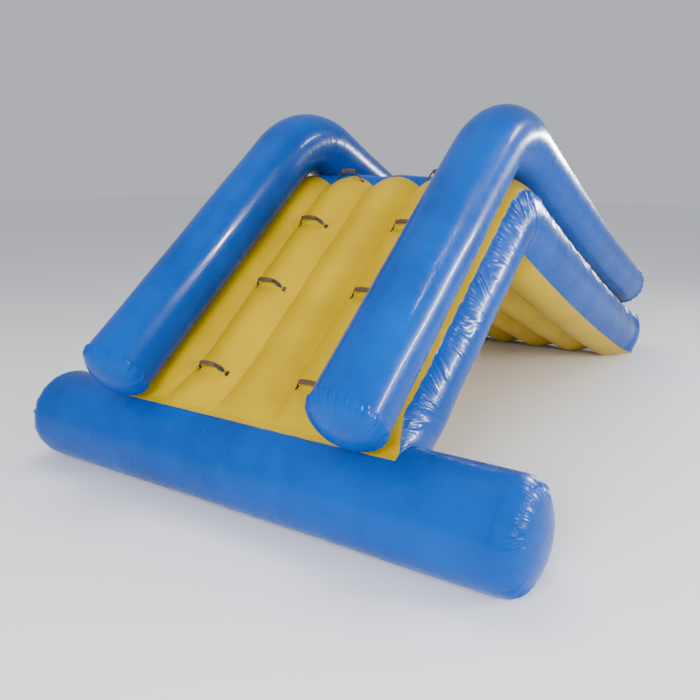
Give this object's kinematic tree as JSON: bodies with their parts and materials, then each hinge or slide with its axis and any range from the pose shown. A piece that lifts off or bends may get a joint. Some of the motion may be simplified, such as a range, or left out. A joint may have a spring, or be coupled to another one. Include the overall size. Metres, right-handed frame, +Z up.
{
  "type": "inflatable water slide",
  "caption": "Inflatable water slide: padded climbing side with grab handles, arched crest between round side rails, sliding side, and a cross float tube at its foot.",
  "frame": {"origin": "on the floor, under the middle of the float tube's centre line", "axes": "+X across the slide to the right of a climber, +Y from the float tube over the crest to the sliding side's end, +Z up"},
  "size_m": [3.4587, 5.4148, 2.2742],
  "materials": {
    "blue_fabric": "glossy coated fabric",
    "yellow_fabric": "glossy coated fabric",
    "white_web_fabric": "matt coated fabric",
    "black_webbing": "woven webbing",
    "grip_tube": "satin tube",
    "valve_plastic": "moulded",
    "valve_rubber": "matt"
  },
  "bodies": {
    "slide": {"climb_skin": "yellow_fabric", "climb_underside": "yellow_fabric", "climb_wall_left": "blue_fabric", "climb_wall_right": "blue_fabric", "float_end_left": "blue_fabric", "float_end_right": "blue_fabric", "float_tube": "blue_fabric", "foot_wall": "yellow_fabric", "handle_crest_left_base": "yellow_fabric", "handle_crest_right_base": "yellow_fabric", "handle_low_left_base": "yellow_fabric", "handle_low_right_base": "yellow_fabric", "handle_middle_left_base": "yellow_fabric", "handle_middle_right_base": "yellow_fabric", "handle_top_left_base": "yellow_fabric", "handle_top_right_base": "yellow_fabric", "rail_left_foot_end": "blue_fabric", "rail_left_tail_end": "blue_fabric", "rail_left_tube": "blue_fabric", "rail_right_foot_end": "blue_fabric", "rail_right_tail_end": "blue_fabric", "rail_right_tube": "blue_fabric", "slide_sheet": "blue_fabric", "slide_skin": "yellow_fabric", "slide_underside": "yellow_fabric", "slide_wall_left": "blue_fabric", "slide_wall_right": "blue_fabric", "tail_wall": "blue_fabric", "valve_float_body": "valve_plastic", "valve_float_flap": "valve_rubber", "valve_mat_body": "valve_plastic", "valve_mat_flap": "valve_rubber", "valve_rail_left_body": "valve_plastic", "valve_rail_left_flap": "valve_rubber", "valve_rail_right_body": "valve_plastic", "valve_rail_right_flap": "valve_rubber", "web_inner_left": "white_web_fabric", "web_inner_right": "white_web_fabric", "web_outer_left": "white_web_fabric", "web_outer_right": "white_web_fabric"},
    "handle_crest_left": {"handle_crest_left_strap": "black_webbing", "handle_crest_left_grip": "grip_tube"},
    "handle_crest_right": {"handle_crest_right_strap": "black_webbing", "handle_crest_right_grip": "grip_tube"},
    "handle_top_left": {"handle_top_left_strap": "black_webbing", "handle_top_left_grip": "grip_tube"},
    "handle_top_right": {"handle_top_right_strap": "black_webbing", "handle_top_right_grip": "grip_tube"},
    "handle_middle_left": {"handle_middle_left_strap": "black_webbing", "handle_middle_left_grip": "grip_tube"},
    "handle_middle_right": {"handle_middle_right_strap": "black_webbing", "handle_middle_right_grip": "grip_tube"},
    "handle_low_left": {"handle_low_left_strap": "black_webbing", "handle_low_left_grip": "grip_tube"},
    "handle_low_right": {"handle_low_right_strap": "black_webbing", "handle_low_right_grip": "grip_tube"},
    "valve_mat_cap": {"valve_mat_cap": "valve_plastic"},
    "valve_float_cap": {"valve_float_cap": "valve_plastic"},
    "valve_rail_left_cap": {"valve_rail_left_cap": "valve_plastic"},
    "valve_rail_right_cap": {"valve_rail_right_cap": "valve_plastic"}
  },
  "joints": [
    {"name": "handle_crest_left_swing", "type": "hinge", "parent": "slide", "child": "handle_crest_left", "pos_m": [-0.364, 1.56419, 1.80867], "axis": [1, 0, 0], "range_deg": [-45, 45]},
    {"name": "handle_crest_right_swing", "type": "hinge", "parent": "slide", "child": "handle_crest_right", "pos_m": [0.364, 1.56419, 1.80867], "axis": [1, 0, 0], "range_deg": [-45, 45]},
    {"name": "handle_top_left_swing", "type": "hinge", "parent": "slide", "child": "handle_top_left", "pos_m": [-0.364, 1.11168, 1.52012], "axis": [1, 0, 0], "range_deg": [-45, 45]},
    {"name": "handle_top_right_swing", "type": "hinge", "parent": "slide", "child": "handle_top_right", "pos_m": [0.364, 1.11168, 1.52012], "axis": [1, 0, 0], "range_deg": [-45, 45]},
    {"name": "handle_middle_left_swing", "type": "hinge", "parent": "slide", "child": "handle_middle_left", "pos_m": [-0.364, 0.65133, 1.15915], "axis": [1, 0, 0], "range_deg": [-45, 45]},
    {"name": "handle_middle_right_swing", "type": "hinge", "parent": "slide", "child": "handle_middle_right", "pos_m": [0.364, 0.65133, 1.15915], "axis": [1, 0, 0], "range_deg": [-45, 45]},
    {"name": "handle_low_left_swing", "type": "hinge", "parent": "slide", "child": "handle_low_left", "pos_m": [-0.364, 0.10655, 0.73526], "axis": [1, 0, 0], "range_deg": [-45, 45]},
    {"name": "handle_low_right_swing", "type": "hinge", "parent": "slide", "child": "handle_low_right", "pos_m": [0.364, 0.10655, 0.73526], "axis": [1, 0, 0], "range_deg": [-45, 45]},
    {"name": "valve_mat_cap_turn", "type": "hinge", "parent": "slide", "child": "valve_mat_cap", "pos_m": [0, 4.99333, 0.20249], "axis": [0, 0.9426, -0.3338], "range_deg": [0, 90]},
    {"name": "valve_float_cap_turn", "type": "hinge", "parent": "slide", "child": "valve_float_cap", "pos_m": [-1.7203, 0, 0.28321], "axis": [-1, 0, 0], "range_deg": [0, 90]},
    {"name": "valve_rail_left_cap_turn", "type": "hinge", "parent": "slide", "child": "valve_rail_left_cap", "pos_m": [-0.792, 5.01267, 0.70914], "axis": [0, 0.9402, -0.3405], "range_deg": [0, 90]},
    {"name": "valve_rail_right_cap_turn", "type": "hinge", "parent": "slide", "child": "valve_rail_right_cap", "pos_m": [0.792, 5.01267, 0.70914], "axis": [0, 0.9402, -0.3405], "range_deg": [0, 90]}
  ]
}
